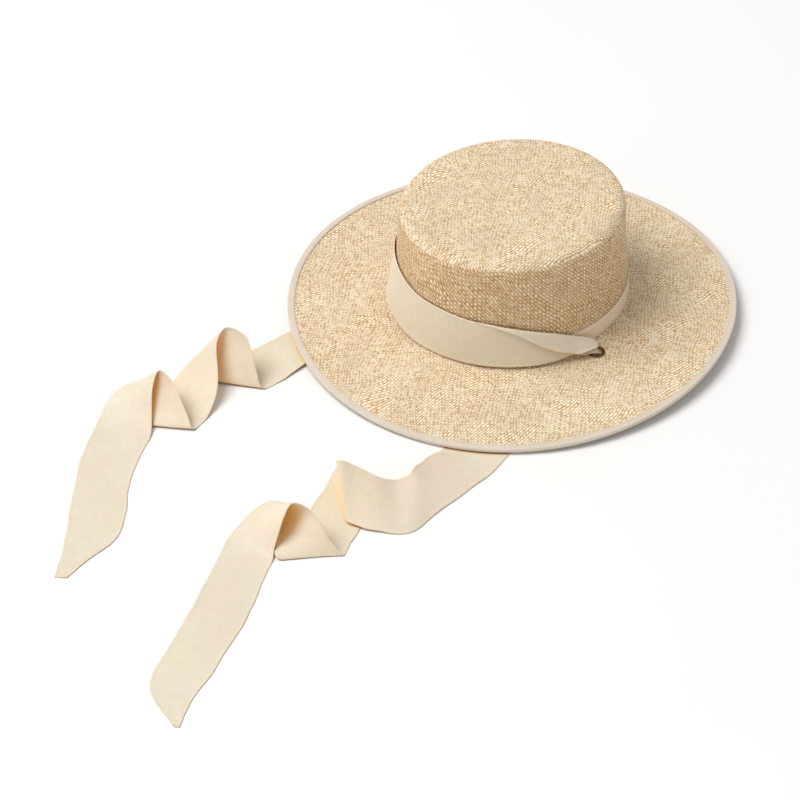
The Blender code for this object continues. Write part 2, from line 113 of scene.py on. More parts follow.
LEFT_TAIL_ROWS = (
    # near_x, near_y, near_z, far_x, far_y, far_z
    (0.43, 0.43, 0.02, -0.50, 0.66, 0.01),
    (0.52, -0.12, 0.05, -0.44, 0.21, 0.01),
    (0.60, -0.72, 0.01, -0.44, -0.59, 0.00),
    (0.61, -1.00, 0.00, -0.29, -1.61, 0.00),
    (0.55, -1.11, 0.06, -0.29, -1.82, 0.06),
    (0.32, -1.06, 0.34, -0.50, -1.81, 0.14),
    (-0.05, -0.96, 0.74, -0.70, -1.75, 0.15),
    (-0.37, -1.16, 0.85, -0.75, -1.72, 0.14),
    (-0.28, -1.42, 0.72, -0.60, -2.05, 0.11),
    (0.20, -1.75, 0.35, -0.40, -2.46, 0.08),
    (0.59, -2.24, 0.03, -0.18, -3.04, 0.03),
    (0.69, -2.49, 0.00, -0.03, -3.27, 0.01),
    (0.73, -2.65, 0.05, -0.04, -3.39, 0.03),
    (0.48, -2.62, 0.25, -0.34, -3.28, 0.09),
    (0.04, -2.57, 0.59, -0.70, -3.08, 0.13),
    (-0.23, -2.67, 0.74, -0.89, -2.95, 0.14),
    (-0.15, -2.87, 0.53, -0.87, -3.27, 0.09),
    (0.21, -3.15, 0.12, -0.61, -3.73, 0.01),
    (0.42, -3.35, 0.01, -0.40, -3.96, 0.00),
    (1.00, -4.07, 0.00, 0.15, -4.58, 0.00),
    (1.78, -4.70, 0.00, 1.16, -5.41, 0.00),
    (2.12, -5.03, 0.00, 1.74, -5.87, 0.00),
    (2.24, -5.28, 0.00, 1.98, -6.08, 0.00),
    (2.33, -5.76, 0.00, 2.19, -6.27, 0.00),
    (2.46, -6.26, 0.00, 2.33, -6.39, 0.00),
)
RIGHT_TAIL_ROWS = (
    # near_x, near_y, near_z, far_x, far_y, far_z
    (0.14, 0.95, 0.00, -0.68, 0.32, 0.00),
    (0.34, 0.53, 0.00, -0.48, -0.28, 0.00),
    (0.45, 0.22, 0.00, -0.42, -0.45, 0.00),
    (0.58, -0.16, 0.00, -0.34, -0.65, 0.11),
    (0.69, -0.89, 0.00, -0.20, -1.01, 0.25),
    (0.79, -1.56, 0.00, -0.09, -1.26, 0.34),
    (0.87, -2.01, 0.00, -0.01, -1.44, 0.30),
    (0.76, -2.25, 0.00, -0.06, -1.67, 0.30),
    (0.53, -2.48, 0.02, -0.21, -1.96, 0.45),
    (0.26, -2.66, 0.05, -0.51, -2.19, 0.61),
    (0.00, -2.77, 0.07, -0.66, -2.35, 0.73),
    (-0.09, -2.64, 0.11, -0.71, -2.40, 0.70),
    (-0.01, -2.50, 0.10, -0.88, -2.22, 0.43),
    (0.09, -2.38, 0.06, -1.18, -2.07, 0.07),
    (0.13, -2.40, 0.00, -1.19, -2.10, 0.00),
    (0.26, -2.64, 0.00, -0.91, -2.56, 0.00),
    (0.42, -2.96, 0.00, -0.67, -2.99, 0.00),
    (0.61, -3.24, 0.00, 0.06, -4.06, 0.00),
    (0.56, -3.27, 0.06, -0.01, -4.15, 0.05),
    (0.33, -3.37, 0.34, -0.35, -3.92, 0.12),
    (-0.04, -3.41, 0.64, -0.84, -3.68, 0.16),
    (-0.25, -3.62, 0.77, -1.07, -3.52, 0.16),
    (-0.21, -3.83, 0.61, -1.12, -3.83, 0.11),
    (-0.15, -4.06, 0.18, -0.96, -4.38, 0.03),
    (-0.05, -4.21, 0.02, -0.80, -4.67, 0.00),
    (0.79, -5.30, 0.00, 0.16, -6.02, 0.00),
    (1.46, -6.44, 0.00, 0.82, -7.06, 0.00),
    (1.72, -6.96, 0.00, 1.05, -7.29, 0.00),
    (1.88, -7.18, 0.00, 1.33, -7.39, 0.00),
    (2.06, -7.39, 0.00, 2.00, -7.45, 0.00),
)

# The hat's crown axis stands over the middle of its bound edge
binding_low, binding_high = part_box("brim_binding")
HAT = np.array([
    (binding_low.x + binding_high.x) / 2, (binding_low.y + binding_high.y) / 2, 0.0])

# Camera and light
VIEW_TURN = 51.0
VIEW_RISE = 38.6
CAMERA_REACH = 2.06
CAMERA_LENS = 114.3
CAMERA_SHIFT = (-0.1404, -0.1179)

# Fineness
HAT_STEPS = 240
RIBBON_STEPS = 8


# Surfaces of the hat, in arrays: an angle in degrees gives one point each

def mix(start, end, share):
    return start + (end - start) * share


def smooth(low, high, value):
    t = np.clip((value - low) / (high - low), 0.0, 1.0)
    return t * t * (3 - 2 * t)


def turned(angle, half_x, half_y, height):
    turn = np.radians(angle)
    height = np.broadcast_to(height, np.shape(turn))
    return np.stack([half_x * np.cos(turn), half_y * np.sin(turn), height], axis=-1)


def edge_height(angle):
    rest = STRAW_WALL / 2 + SEAT_GAP + TAPE_THICKNESS
    wave = EDGE_WAVE * (1 + np.cos(2 * np.radians(angle - HIGH_EDGE_ANGLE)))
    tilt = EDGE_TILT * (1 + np.cos(np.radians(angle - LOW_EDGE_ANGLE))) / 2
    return rest + wave + tilt


def brim_reach(angle):
    across = (BRIM_WIDTH - CROWN_WIDTH) / 2 * np.cos(np.radians(angle))
    along = (BRIM_LENGTH - CROWN_LENGTH) / 2 * np.sin(np.radians(angle))
    return np.hypot(across, along)


def brim_ring(angle, inset, lift):
    share = inset / brim_reach(angle)
    half_x = mix(BRIM_WIDTH / 2, CROWN_WIDTH / 2, share)
    half_y = mix(BRIM_LENGTH / 2, CROWN_LENGTH / 2, share)
    height = mix(edge_height(angle), CROWN_FOOT_RISE - STRAW_WALL / 2, share) + lift
    return turned(angle, half_x, half_y, height)


def wall_straight_height():
    return CROWN_HEIGHT - TOP_ROUNDING


def crown_ring(angle, height, outward):
    share = height / wall_straight_height()
    half_x = mix(CROWN_WIDTH, TOP_WIDTH, share) / 2 + outward
    half_y = mix(CROWN_LENGTH, TOP_LENGTH, share) / 2 + outward
    return turned(angle, half_x, half_y, CROWN_FOOT_RISE + height)


def top_ring(angle, inset, drop):
    height = CROWN_FOOT_RISE + CROWN_HEIGHT - drop
    return turned(angle, TOP_WIDTH / 2 - inset, TOP_LENGTH / 2 - inset, height)


# Meshes

def new_piece(name, points, faces, finish):
    mesh = bpy.data.meshes.new(name)
    mesh.from_pydata((np.asarray(points) + HAT).tolist(), [], faces)
    mesh.materials.append(finish)
    mesh.shade_smooth()
    piece = bpy.data.objects.new(name, mesh)
    bpy.context.scene.collection.objects.link(piece)
    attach(piece, "root")
    return piece


def ring_faces(rings, around, closed=False, first=0):
    """Quads between rings of points, which all run round in the same direction."""
    faces = []
    last = rings if closed else rings - 1
    for ring in range(last):
        below = first + (ring + 1) % rings * around
        above = first + ring * around
        for step in range(around):
            following = (step + 1) % around
            faces.append((above + step, below + step, below + following, above + following))
    return faces


def add_caps(points, faces, around):
    """Close the first and last ring with a fan to their middle points."""
    count = len(points)
    rings = count // around
    start = points[:around].mean(axis=0)
    end = points[-around:].mean(axis=0)
    points = np.vstack([points, start, end])
    for step in range(around):
        following = (step + 1) % around
        last = (rings - 1) * around
        faces.append((count, step, following))
        faces.append((count + 1, last + following, last + step))
    return points, faces


# Straw

def straw_rings():
    angle = np.linspace(0.0, 360.0, HAT_STEPS, endpoint=False)
    edge = SEAT_GAP + TAPE_THICKNESS
    half = STRAW_WALL / 2
    rings = []
    flat = np.linspace(0.97, 0.0, 16, endpoint=False)
    for share in flat:
        rings.append(top_ring(angle, mix(TOP_ROUNDING, TOP_WIDTH / 2, share), 0.0))
    for turn in np.radians(np.linspace(0.0, 90.0, 11)):
        inset = TOP_ROUNDING * (1 - math.sin(turn))
        rings.append(top_ring(angle, inset, TOP_ROUNDING * (1 - math.cos(turn))))
    for share in np.linspace(0.95, 0.06, 18):
        rings.append(crown_ring(angle, share * wall_straight_height(), 0.0))
    for turn in np.radians(np.linspace(0.0, 90.0, 5)):
        low = crown_ring(angle, 0.0, CROWN_FILLET * (1 - math.cos(turn)))
        low[:, 2] += CROWN_FILLET * (1 - math.sin(turn))
        rings.append(low)
    reach = brim_reach(angle) - CROWN_FILLET
    for share in np.linspace(0.04, 1.0, 24):
        rings.append(brim_ring(angle, mix(reach, edge, share), half))
    rings.append(brim_ring(angle, edge - 0.4 * half, 0.0))
    for share in np.linspace(1.0, 0.0, 16):
        rings.append(brim_ring(angle, mix(brim_reach(angle), edge, share), -half))
    for share in np.linspace(0.0, 0.95, 12):
        rings.append(crown_ring(angle, share * wall_straight_height(), -STRAW_WALL))
    inner = TOP_ROUNDING - STRAW_WALL
    for turn in np.radians(np.linspace(90.0, 0.0, 6)):
        inset = STRAW_WALL + inner * (1 - math.sin(turn))
        rings.append(top_ring(angle, inset, STRAW_WALL + inner * (1 - math.cos(turn))))
    for share in np.linspace(0.12, 0.97, 8):
        rings.append(top_ring(angle, mix(TOP_ROUNDING, TOP_WIDTH / 2, share), STRAW_WALL))
    return np.array(rings)


def hand_shaped(points):
    """Slight unevenness of the blocked straw, fading out where tapes and eyelets sit."""
    x, y, z = points[:, 0], points[:, 1], points[:, 2]
    far = np.hypot(x / (BRIM_WIDTH / 2), y / (BRIM_LENGTH / 2))
    brim = smooth(0.62, 0.72, far) * (1 - smooth(0.86, 0.94, far))
    ripple = np.sin(47 * x + 31 * y) + np.sin(71 * y - 29 * x + 1.3) * 0.7
    ripple += np.sin(103 * x + 17 * y + 0.4) * 0.4
    top = smooth(0.9 * CROWN_HEIGHT, CROWN_HEIGHT + CROWN_FOOT_RISE, z)
    dish = np.sin(38 * x - 22 * y + 0.8) + np.sin(61 * y + 18 * x) * 0.6
    points[:, 2] += 0.30 * MM * ripple * brim - 0.22 * MM * (1.7 + dish) * top
    wall = smooth(0.035, 0.06, z) * (1 - smooth(0.08, 0.098, z))
    turn = np.arctan2(y, x)
    bulge = (np.sin(3 * turn + 1.1) + 0.6 * np.sin(7 * turn + 60 * z)) * 0.35 * MM * wall
    points[:, 0] += bulge * np.cos(turn)
    points[:, 1] += bulge * np.sin(turn)
    return points


def make_straw(finish):
    rings = straw_rings()
    points = hand_shaped(rings.reshape(-1, 3))
    points, faces = add_caps(points, ring_faces(len(rings), HAT_STEPS), HAT_STEPS)
    straw = new_piece("straw_hat", points, faces, finish)
    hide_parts("crown", "brim")
    return straw


# Tapes

def make_binding(finish):
    angle = np.linspace(0.0, 360.0, 2 * HAT_STEPS, endpoint=False)
    inner = STRAW_WALL / 2 + SEAT_GAP
    outer = inner + TAPE_THICKNESS
    join = smooth(-1.5, 0.0, angle - JOIN_ANGLE) * (1 - smooth(JOIN_SPAN, JOIN_SPAN + 0.3, angle - JOIN_ANGLE))
    step = 0.35 * MM * join
    rings = []
    for inset, lift in binding_section(inner, outer):
        side = 1 if lift > 0 else -1 if lift < 0 else 0
        raised = abs(lift) > inner + 0.2 * TAPE_THICKNESS
        rings.append(brim_ring(angle, inset, lift + (step * side if raised else 0.0)))
    rings = np.array(rings)
    faces = ring_faces(len(rings), len(angle), closed=True)
    binding = new_piece("binding_tape", rings.reshape(-1, 3), faces, finish)
    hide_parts("brim_binding")
    return binding


JOIN_ANGLE = 265.5
JOIN_SPAN = 4.0


def binding_section(inner, outer):
    """Inset and lift round the folded tape, over the top, round the edge and back inside."""
    bend = TAPE_THICKNESS + SEAT_GAP
    section = [(BINDING_WIDTH, mix(inner, outer, 0.3)), (BINDING_WIDTH - 0.25 * MM, outer)]
    for share in np.linspace(0.8, 0.0, 6, endpoint=False):
        section.append((mix(bend, BINDING_WIDTH, share), outer))
    for turn in np.radians(np.linspace(90, -90, 9)):
        section.append((bend * (1 - math.cos(turn)), outer * math.sin(turn)))
    for share in np.linspace(0.2, 0.8, 4):
        section.append((mix(bend, BINDING_WIDTH, share), -outer))
    section += [(BINDING_WIDTH - 0.25 * MM, -outer), (BINDING_WIDTH, -mix(inner, outer, 0.3))]
    section += [(BINDING_WIDTH, -inner), (TAPE_THICKNESS, -inner), (TAPE_THICKNESS, inner)]
    section += [(BINDING_WIDTH, inner)]
    return section


def make_band(finish):
    angle = np.linspace(0.0, 360.0, HAT_STEPS, endpoint=False)
    foot = BAND_LIFT
    head = BAND_LIFT + BAND_HEIGHT
    outside = SEAT_GAP + TAPE_THICKNESS
    section = [(foot, SEAT_GAP), (foot, 0.8 * outside)]
    for share in (0.03, 0.25, 0.5, 0.75, 0.97):
        section.append((mix(foot, head, share), outside))
    section += [(head, 0.8 * outside), (head, SEAT_GAP)]
    rings = np.array([crown_ring(angle, height, off) for height, off in section])
    faces = ring_faces(len(rings), len(angle), closed=True)
    faces = [face[::-1] for face in faces]
    band = new_piece("band_tape", rings.reshape(-1, 3), faces, finish)
    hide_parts("hat_band")
    return band


STITCH_PITCH = 3.2 * MM
STITCH_LENGTH = 2.3 * MM
STITCH_WIDTH = 0.5 * MM


def make_stitches(finish):
    """Short thread runs along the inner edge of the binding, above and below the brim."""
    length = math.pi * (BRIM_WIDTH + BRIM_LENGTH) / 2
    count = int(length / STITCH_PITCH)
    lift = STRAW_WALL / 2 + SEAT_GAP + TAPE_THICKNESS
    points, faces = [], []
    spread = np.array([-0.5, -0.38, 0.0, 0.38, 0.5]) * STITCH_LENGTH
    fat = np.array([0.15, 0.8, 1.0, 0.8, 0.15]) * STITCH_WIDTH / 2
    for side in (1, -1):
        for index in range(count):
            angle = 360.0 * index / count
            here, ahead = brim_ring(np.array([angle, angle + 0.1]), 1.3 * MM, side * lift)
            inset = BINDING_WIDTH - 1.3 * MM
            here, ahead = brim_ring(np.array([angle, angle + 0.1]), inset, side * lift)
            along = (ahead - here) / np.linalg.norm(ahead - here)
            across = np.cross(along, (0.0, 0.0, 1.0))
            first = len(points)
            for offset, radius in zip(spread, fat):
                middle = here + along * offset
                for turn in np.radians(np.arange(6) * 60.0):
                    bulge = across * math.cos(turn) + np.array([0, 0, 0.7 * math.sin(turn)])
                    points.append(middle + bulge * radius)
            faces += ring_faces(5, 6, first=first)
            faces.append(tuple(first + k for k in range(6)))
            faces.append(tuple(first + 24 + k for k in reversed(range(6))))
    return new_piece("binding_stitches", points, faces, finish)


# Eyelets

def eyelet_frames():
    """Middle and three directions of each eyelet on the sloping brim."""
    turn = math.degrees(math.asin(EYELET_BEHIND_MIDDLE / (CROWN_LENGTH / 2)))
    frames = {}
    for side, angle in (("right", turn), ("left", 180.0 - turn)):
        inset = brim_reach(angle) - EYELET_OFFSET
        middle = brim_ring(angle, inset, 0.0)
        outward = brim_ring(angle, inset - EYELET_HOLE, 0.0) - middle
        along = brim_ring(angle + 2.0, inset, 0.0) - brim_ring(angle - 2.0, inset, 0.0)
        normal = np.cross(outward, along)
        normal = normal / np.linalg.norm(normal) * (1 if normal[2] > 0 else -1)
        first = outward / np.linalg.norm(outward)
        frames[side] = (middle, first, np.cross(normal, first), normal)
    return frames


def make_eyelet(side, placing, finish):
    middle, first, second, normal = placing
    hole = EYELET_HOLE / 2
    barrel = EYELET_BARREL / 2
    flange = EYELET_FLANGE / 2
    seat = STRAW_WALL / 2 + 0.1 * MM
    crest = STRAW_WALL / 2 + SEAT_GAP + EYELET_FLANGE_THICKNESS
    back = -STRAW_WALL / 2 - SEAT_GAP - EYELET_BACK_THICKNESS
    section = [(hole, back), (hole, mix(seat, crest, 0.25))]
    for turn in np.radians(np.linspace(165, 20, 10)):
        radius = mix(hole, flange, 0.5) + (flange - hole) / 2 * math.cos(turn)
        section.append((radius, mix(seat, crest, 0.2) + 0.8 * (crest - seat) * math.sin(turn)))
    section += [(flange, mix(seat, crest, 0.2)), (flange, seat), (barrel, seat), (barrel, -seat)]
    section += [(0.92 * flange, -seat), (0.92 * flange, back)]
    rings = []
    turn = np.radians(np.linspace(0, 360, 64, endpoint=False))
    for radius, height in section:
        flat = np.outer(np.cos(turn), first) + np.outer(np.sin(turn), second)
        rings.append(middle + flat * radius + normal * height)
    faces = ring_faces(len(rings), 64, closed=True)
    name = "eyelet_" + side
    made = new_piece(name + "_ring", np.array(rings).reshape(-1, 3), faces, finish)
    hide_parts(name)
    return made


# Ribbon

def tail_rows(rows, exit_angle):
    turn = math.radians(exit_angle)
    start = np.array([BRIM_WIDTH / 2 * math.cos(turn), BRIM_LENGTH / 2 * math.sin(turn), 0])
    start[2] = RIBBON_THICKNESS / 2
    made = []
    for row in rows:
        near = start + np.array(row[:3]) * RIBBON_WIDTH
        far = start + np.array(row[3:]) * RIBBON_WIDTH
        made.append((near, far, 0.0, 0.0))
    return made


def wrap_rows():
    clear = 2 * SEAT_GAP + TAPE_THICKNESS + RIBBON_THICKNESS / 2
    made = []
    for angle, lower_height, lower_off, upper_height, upper_off, flap in WRAP_ROWS:
        lower = crown_ring(
            angle, lower_height * RIBBON_WIDTH, clear + lower_off * RIBBON_WIDTH)
        upper = crown_ring(
            angle, upper_height * RIBBON_WIDTH, clear + upper_off * RIBBON_WIDTH)
        made.append((lower, upper, flap * RIBBON_WIDTH, 0.0))
    return made


def eyelet_rows(middle, side):
    mirror = np.array([1.0 if side == "right" else -1.0, 1.0, 1.0])
    fit = RIBBON_BUNDLE / 2 / (0.06 * RIBBON_WIDTH)
    made = []
    for row in EYELET_ROWS:
        narrow = fit if abs(row[0] - row[3]) < 0.13 else 1.0
        squeeze = mirror * np.array([narrow, 1.0, 1.0]) * RIBBON_WIDTH
        flap = row[6] * RIBBON_WIDTH if side == "right" else 0.0
        outer = middle + np.array(row[:3]) * squeeze
        inner = middle + np.array(row[3:6]) * squeeze
        made.append((outer, inner, flap, row[7]))
    return made


def under_rows(bundle, tail):
    bundle_middle = (bundle[0] + bundle[1]) / 2
    bundle_half = (bundle[0] - bundle[1]) / 2
    tail_middle = (tail[0] + tail[1]) / 2
    tail_half = (tail[0] - tail[1]) / 2
    made = []
    for way, spread, height in UNDER_ROWS:
        middle = mix(bundle_middle, tail_middle, way)
        middle[2] = RIBBON_THICKNESS / 2 + height * RIBBON_WIDTH
        half = mix(bundle_half, tail_half, spread)
        made.append((middle + half, middle - half, 0.0, 1.0 - spread))
    return made


def ribbon_rows():
    """Outer edge, inner edge, width of the turned-over flap and gathering, tip to tip."""
    frames = eyelet_frames()
    left_tail = [(row[1], row[0], *row[2:]) for row in tail_rows(LEFT_TAIL_ROWS, LEFT_EXIT_ANGLE)]
    right_tail = tail_rows(RIGHT_TAIL_ROWS, RIGHT_EXIT_ANGLE)
    left_eyelet = eyelet_rows(frames["left"][0], "left")
    right_eyelet = eyelet_rows(frames["right"][0], "right")
    left_under = under_rows(left_eyelet[-1], left_tail[0])
    right_under = under_rows(right_eyelet[-1], right_tail[0])
    return (
        left_tail[::-1] + left_under[::-1] + left_eyelet[::-1] + wrap_rows()
        + right_eyelet + right_under + right_tail
    )


def smooth_path(spots, steps):
    """Points along one smooth curve through the given points, tighter where they lie close."""
    spots = np.asarray(spots)
    last = len(spots) - 1
    path = []
    for i in range(last):
        before, start = spots[max(i - 1, 0)], spots[i]
        end, after = spots[i + 1], spots[min(i + 2, last)]
        gap_before = max(np.linalg.norm(start - before), MM * MM) ** 0.5
        gap = max(np.linalg.norm(end - start), MM * MM) ** 0.5
        gap_after = max(np.linalg.norm(after - end), MM * MM) ** 0.5
        leave = end - start
        arrive = end - start
        if i > 0:
            leave = gap * (
                (start - before) / gap_before - (end - before) / (gap_before + gap)
                + (end - start) / gap)
        if i < last - 1:
            arrive = gap * (
                (end - start) / gap - (after - start) / (gap + gap_after)
                + (after - end) / gap_after)
        for step in range(steps):
            t = step / steps
            path.append(
                (2 * t**3 - 3 * t**2 + 1) * start + (t**3 - 2 * t**2 + t) * leave
                + (3 * t**2 - 2 * t**3) * end + (t**3 - t**2) * arrive)
    path.append(spots[-1])
    return np.array(path)


# Share of the width, and extra thickness there of the hem along either edge
HEM_COLUMNS = ((0.0, 0.0), (0.004, 0.22), (0.022, 0.26), (0.040, 0.22), (0.052, 0.0))
PLAIN_COLUMNS = 33


def ribbon_columns():
    hem = [share for share, _ in HEM_COLUMNS]
    middle = list(np.linspace(hem[-1], 1 - hem[-1], PLAIN_COLUMNS + 2)[1:-1])
    shares = np.array(hem + middle + [1 - share for share in reversed(hem)])
    extra = [more for _, more in HEM_COLUMNS]
    return shares, np.array(extra + [0.0] * PLAIN_COLUMNS + extra[::-1]) * MM


def unit(vectors):
    return vectors / np.maximum(np.linalg.norm(vectors, axis=-1, keepdims=True), 1e-12)


TAIL_WAVER = 0.55 * MM
FLAP_BEND = 1.2 * MM
FLAP_SPREAD = math.radians(7.0)


def wavering_edges(outer, inner):
    """Both edges with the small waves of soft cloth on the tails, and none round the crown."""
    step = np.arange(len(outer))
    left = (len(LEFT_TAIL_ROWS) - 2) * RIBBON_STEPS
    right = len(outer) - (len(RIGHT_TAIL_ROWS) - 2) * RIBBON_STEPS
    loose = 1 - smooth(left - RIBBON_STEPS, left, step) * smooth(right + RIBBON_STEPS, right, step)
    run = np.cumsum(np.linalg.norm(np.gradient((outer + inner) / 2, axis=0), axis=1))
    across = unit(outer - inner)
    first = np.sin(run * 171) * 0.5 + np.sin(run * 263 + 1.1) * 0.35 + np.sin(run * 97 + 0.4) * 0.5
    second = np.sin(run * 149 + 2.0) * 0.5 + np.sin(run * 239) * 0.35 + np.sin(run * 83 + 2.6) * 0.5
    first = (TAIL_WAVER * loose * first)[:, None]
    second = (TAIL_WAVER * loose * second)[:, None]
    return outer + across * first, inner - across * second


def ribbon_surface():
    """The ribbon's middle surface as a grid: along its length, then across its width."""
    rows = ribbon_rows()
    outer = smooth_path([row[0] for row in rows], RIBBON_STEPS)
    inner = smooth_path([row[1] for row in rows], RIBBON_STEPS)
    flap = smooth_path([[row[2]] for row in rows], RIBBON_STEPS).clip(0.0)
    outer, inner = wavering_edges(outer, inner)
    shares, _ = ribbon_columns()
    width = np.linalg.norm(inner - outer, axis=1, keepdims=True)
    down = unit(outer - inner)
    away = inner * np.array([1.0, 1.0, 0.0])
    away = unit(away - (away * down).sum(axis=1, keepdims=True) * down)
    reach = shares[None, :] * (width + flap)
    bend = np.maximum(FLAP_BEND * smooth(0.0, 4 * MM, flap), 0.01 * MM)
    past = reach - (width - bend)
    turn = np.clip(past / bend, 0.0, np.pi)
    over = np.maximum(past - np.pi * bend, 0.0)
    rise = np.minimum(reach, width - bend) + bend * np.sin(turn) - over * math.cos(FLAP_SPREAD)
    stand = bend * (1 - np.cos(turn)) + over * math.sin(FLAP_SPREAD)
    grid = (
        outer[:, None, :] - down[:, None, :] * rise[:, :, None]
        + away[:, None, :] * stand[:, :, None])
    gather = smooth_path([[row[3]] for row in rows], RIBBON_STEPS).clip(0.0, 1.0)
    pleat = 1.9 * MM * gather * np.sin(2 * np.pi * 3 * shares)[None, :]
    return grid, pleat[:, :, None]


def grid_normals(grid):
    along = np.gradient(grid, axis=0)
    across = np.gradient(grid, axis=1)
    return unit(np.cross(along, across))


def crumple(grid):
    """Faint unevenness along the ribbon, as a share of a millimetre off its surface."""
    rows, columns = grid.shape[:2]
    run = np.cumsum(np.linalg.norm(np.gradient(grid[:, columns // 2], axis=0), axis=1))[:, None]
    across = np.linspace(0.0, 1.0, columns)[None, :]
    wave = np.sin(run * 92 + 2.2 * across) * 0.5 + np.sin(run * 41 - 3.4 * across + 0.7)
    wave = wave + np.sin(run * 187 + 5.0 * across + 2.0) * 0.25
    return 0.36 * MM * wave * np.sin(np.pi * across)


def make_ribbon(finish):
    grid, pleat = ribbon_surface()
    grid = grid + grid_normals(grid) * (pleat + crumple(grid)[:, :, None])
    grid[:, :, 2] = np.maximum(grid[:, :, 2], 0.42 * MM)
    normals = grid_normals(grid)
    _, extra = ribbon_columns()
    half = (0.30 * MM + extra / 2)[None, :, None]
    half = half * np.where(np.arange(len(extra)) % (len(extra) - 1) == 0, 0.4, 1.0)[None, :, None]
    face = grid + normals * half
    back = grid - normals * half
    face[:, :, 2] = np.maximum(face[:, :, 2], 0.02 * MM)
    back[:, :, 2] = np.maximum(back[:, :, 2], 0.02 * MM)
    rings = np.concatenate([face, back[:, ::-1]], axis=1)
    count, around = rings.shape[:2]
    faces = ring_faces(count, around)
    columns = around // 2
    last = (count - 1) * around
    for step in range(columns - 1):
        other = around - 1 - step
        faces.append((step, step + 1, other - 1, other))
        faces.append((last + other, last + other - 1, last + step + 1, last + step))
    ribbon = new_piece("satin_ribbon", rings.reshape(-1, 3), faces, finish)
    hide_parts("ribbon")
    return ribbon


# Finishes

class Net:
    """Short ways to lay out a material's nodes."""

    def __init__(self, name, colour, roughness, metallic=0.0, **sockets):
        self.finish = bpy.data.materials.new(name)
        self.finish.use_nodes = True
        self.tree = self.finish.node_tree
        self.shader = self.tree.nodes["Principled BSDF"]
        self.shader.inputs["Base Color"].default_value = (*colour, 1.0)
        self.shader.inputs["Roughness"].default_value = roughness
        self.shader.inputs["Metallic"].default_value = metallic
        for socket, value in sockets.items():
            self.shader.inputs[socket.replace("_", " ")].default_value = value

    def node(self, kind, **settings):
        made = self.tree.nodes.new(kind)
        for key, value in settings.items():
            setattr(made, key, value)
        return made

    def link(self, value, socket):
        if isinstance(value, bpy.types.NodeSocket):
            self.tree.links.new(value, socket)
        else:
            socket.default_value = value

    def math(self, operation, *values):
        made = self.node("ShaderNodeMath", operation=operation)
        for value, socket in zip(values, made.inputs):
            self.link(value, socket)
        return made.outputs[0]

    def mix(self, share, low, high):
        made = self.node("ShaderNodeMix", data_type="FLOAT")
        self.link(share, made.inputs[0])
        self.link(low, made.inputs[2])
        self.link(high, made.inputs[3])
        return made.outputs[0]

    def ramp(self, value, stops):
        made = self.node("ShaderNodeValToRGB")
        elements = made.color_ramp.elements
        while len(elements) < len(stops):
            elements.new(0.5)
        for element, (place, colour) in zip(elements, stops):
            element.position = place
            element.color = (*colour, 1.0)
        self.link(value, made.inputs[0])
        return made.outputs[0]

    def noise(self, vector, scale, detail=2.0):
        made = self.node("ShaderNodeTexNoise")
        made.inputs["Scale"].default_value = scale
        made.inputs["Detail"].default_value = detail
        self.link(vector, made.inputs["Vector"])
        return made

    def place(self):
        """Position measured from the hat's axis, on the surface that it lies on."""
        found = self.node("ShaderNodeTexCoord")
        moved = self.node("ShaderNodeMapping")
        moved.inputs["Location"].default_value = (-HAT[0], -HAT[1], 0.0)
        self.link(found.outputs["Object"], moved.inputs["Vector"])
        split = self.node("ShaderNodeSeparateXYZ")
        self.link(moved.outputs[0], split.inputs[0])
        return moved.outputs[0], split.outputs, found.outputs["Normal"]

    def shade(self, colour):
        self.link(colour, self.shader.inputs["Base Color"])

    def bump(self, height, distance, strength=1.0):
        made = self.node("ShaderNodeBump")
        made.inputs["Distance"].default_value = distance
        made.inputs["Strength"].default_value = strength
        self.link(height, made.inputs["Height"])
        self.link(made.outputs[0], self.shader.inputs["Normal"])


def linear(red, green, blue):
    """A colour read on the 0 to 255 scale of screens, as the shader's linear values."""
    made = []
    for value in (red, green, blue):
        value /= 255.0
        made.append(value / 12.92 if value <= 0.04045 else ((value + 0.055) / 1.055) ** 2.4)
    return tuple(made)


FLAT_STRAND = 1.95 * MM
WALL_STRANDS = 180
WALL_RADIUS = 92.5 * MM


